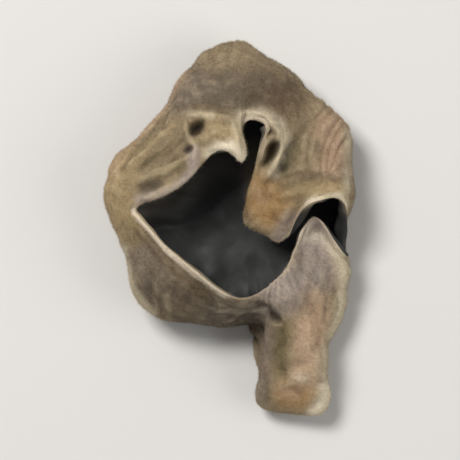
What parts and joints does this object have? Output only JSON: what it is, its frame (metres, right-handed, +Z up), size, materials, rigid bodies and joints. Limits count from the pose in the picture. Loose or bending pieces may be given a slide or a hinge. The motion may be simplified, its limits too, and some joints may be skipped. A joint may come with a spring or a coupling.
{
  "type": "dried wood ear mushroom",
  "caption": "Dried wood ear mushroom: one thin felted sheet of flesh curled into a closed-in cup, with a stub, a rolled-in flap and a lobe like a tongue.",
  "frame": {"origin": "on the flattened bottom of the cup, near the middle of the piece as seen from above", "axes": "+Z up out of the mouth; -Y towards the lobe like a tongue; +X towards the side with the rolled-in flap"},
  "size_m": [0.0248, 0.0377, 0.0115],
  "materials": {
    "dried_flesh": "matt tan felt of short hair outside, smooth and near-black inside the cup"
  },
  "bodies": {
    "root": {"wood_ear": "dried_flesh"}
  },
  "joints": []
}
